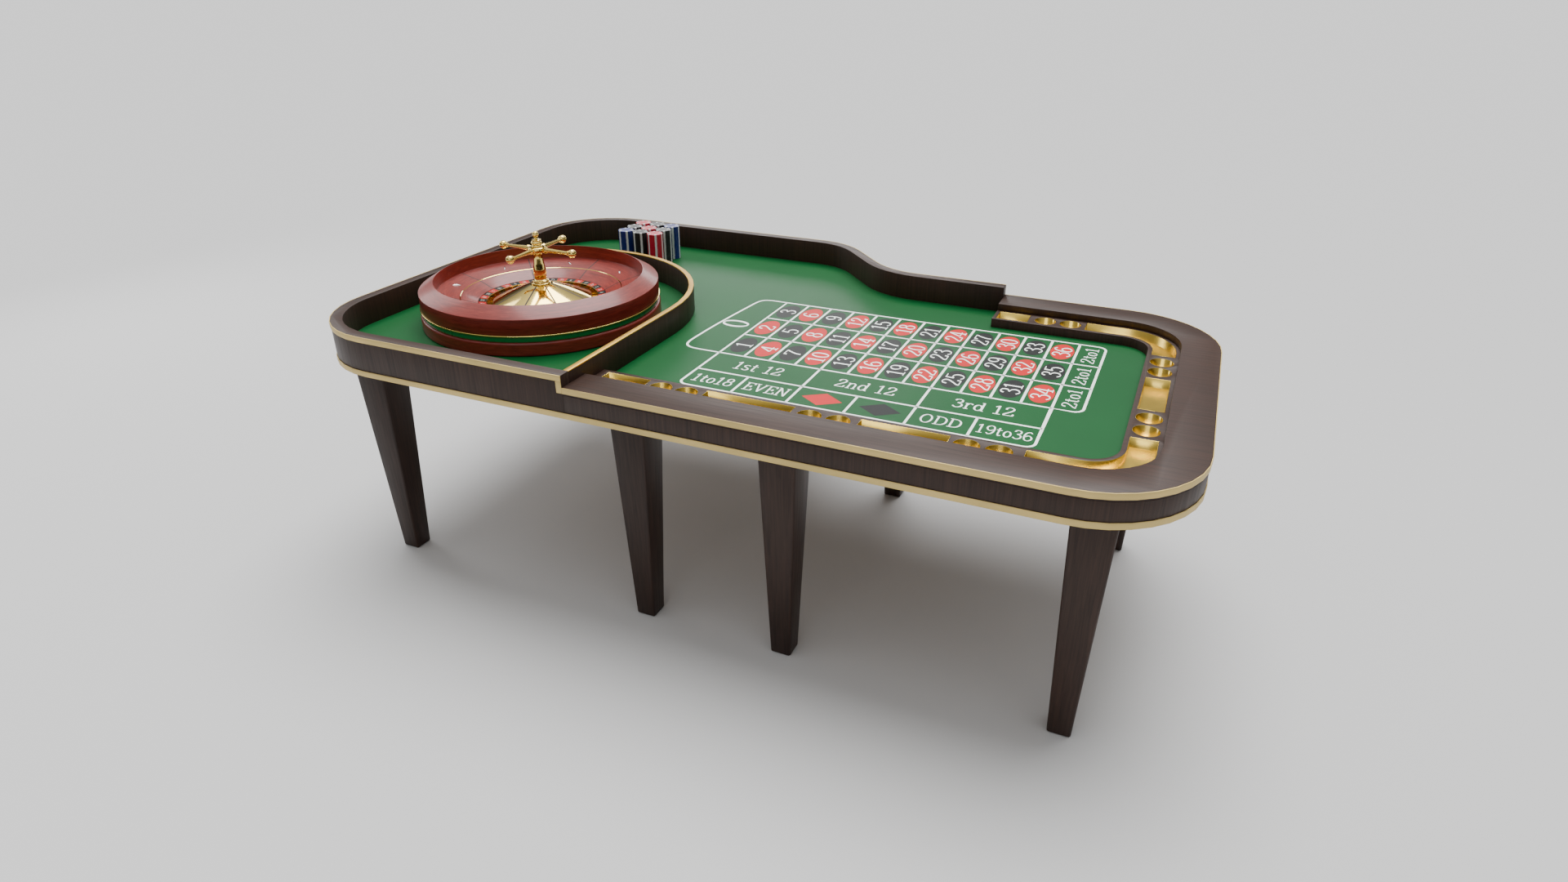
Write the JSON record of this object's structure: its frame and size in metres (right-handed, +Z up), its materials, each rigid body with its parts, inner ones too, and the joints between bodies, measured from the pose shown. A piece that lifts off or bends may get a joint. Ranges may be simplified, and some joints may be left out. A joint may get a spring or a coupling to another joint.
{
  "type": "roulette table",
  "caption": "Casino roulette table: walnut rim with brass chip trays and cups, green felt layout, legs, loose chip stacks and a wheel whose rotor spins.",
  "frame": {"origin": "on the floor under the middle of the table's bounding box", "axes": "+X along the table from the wheel end to the betting end, +Y from the players' side to the dealer's side, +Z up"},
  "size_m": [2.7296, 1.6366, 1.047],
  "materials": {
    "walnut": "satin lacquer",
    "bed_board": "raw",
    "green_felt": "napped cloth",
    "pale_brass": "satin",
    "polished_brass": "polished",
    "gold": "polished and lacquered",
    "mahogany": "gloss lacquer",
    "green_enamel": "gloss",
    "number_red": "gloss",
    "spindle_steel": "ground",
    "chip_blue": "moulded",
    "chip_black": "moulded",
    "chip_red": "moulded"
  },
  "bodies": {
    "table": {"table_bed": "bed_board", "playing_board": "bed_board", "felt_cloth": "green_felt", "high_wall": "walnut", "low_apron": "walnut", "arm_rail": "walnut", "tray_ledge": "walnut", "cup_pair_1": "polished_brass", "cup_pair_2": "polished_brass", "cup_pair_3": "polished_brass", "cup_pair_4": "polished_brass", "cup_pair_5": "polished_brass", "cup_pair_6": "polished_brass", "chip_tray_1": "polished_brass", "chip_tray_2": "polished_brass", "chip_tray_3": "polished_brass", "chip_tray_4": "polished_brass", "chip_tray_5": "polished_brass", "corner_tray_near": "polished_brass", "corner_tray_far": "polished_brass", "trim_lower": "pale_brass", "trim_wall": "pale_brass", "trim_rail": "pale_brass", "trim_step_near": "pale_brass", "trim_step_far": "pale_brass", "partition_wall": "walnut", "partition_cap": "polished_brass", "leg_near_1": "walnut", "leg_far_1": "walnut", "leg_near_2": "walnut", "leg_far_2": "walnut", "leg_near_3": "walnut", "leg_far_3": "walnut", "leg_near_4": "walnut", "leg_far_4": "walnut"},
    "wheel": {"wheel_base": "mahogany", "wheel_green_band": "green_enamel", "wheel_brass_band": "gold", "wheel_bowl": "mahogany", "wheel_spindle": "spindle_steel", "spindle_bearing": "spindle_steel"},
    "rotor": {"rotor_disc": "mahogany", "number_ring": "number_red", "pocket_ring": "gold", "rotor_cone": "gold", "turret_column": "gold", "turret_cross": "gold", "turret_finial": "gold"},
    "stack_1": {"chip_stack_1": "chip_blue"},
    "stack_2": {"chip_stack_2": "chip_black"},
    "stack_3": {"chip_stack_3": "chip_red"},
    "stack_4": {"chip_stack_4": "chip_black"},
    "stack_5": {"chip_stack_5": "chip_red"},
    "stack_6": {"chip_stack_6": "chip_black"},
    "stack_7": {"chip_stack_7": "chip_red"},
    "stack_8": {"chip_stack_8": "chip_black"},
    "stack_9": {"chip_stack_9": "chip_blue"}
  },
  "joints": [
    {"name": "wheel_lift", "type": "slide", "parent": "table", "child": "wheel", "axis": [0, 0, 1], "range_m": [0, 0.25]},
    {"name": "wheel_spin", "type": "hinge", "parent": "wheel", "child": "rotor", "pos_m": [-0.8354, -0.2036, 0.85], "axis": [0, 0, 1], "continuous": true},
    {"name": "stack_1_lift", "type": "slide", "parent": "table", "child": "stack_1", "axis": [0, 0, 1], "range_m": [0, 0.16]},
    {"name": "stack_2_lift", "type": "slide", "parent": "table", "child": "stack_2", "axis": [0, 0, 1], "range_m": [0, 0.16]},
    {"name": "stack_3_lift", "type": "slide", "parent": "table", "child": "stack_3", "axis": [0, 0, 1], "range_m": [0, 0.16]},
    {"name": "stack_4_lift", "type": "slide", "parent": "table", "child": "stack_4", "axis": [0, 0, 1], "range_m": [0, 0.16]},
    {"name": "stack_5_lift", "type": "slide", "parent": "table", "child": "stack_5", "axis": [0, 0, 1], "range_m": [0, 0.16]},
    {"name": "stack_6_lift", "type": "slide", "parent": "table", "child": "stack_6", "axis": [0, 0, 1], "range_m": [0, 0.16]},
    {"name": "stack_7_lift", "type": "slide", "parent": "table", "child": "stack_7", "axis": [0, 0, 1], "range_m": [0, 0.16]},
    {"name": "stack_8_lift", "type": "slide", "parent": "table", "child": "stack_8", "axis": [0, 0, 1], "range_m": [0, 0.16]},
    {"name": "stack_9_lift", "type": "slide", "parent": "table", "child": "stack_9", "axis": [0, 0, 1], "range_m": [0, 0.16]}
  ]
}
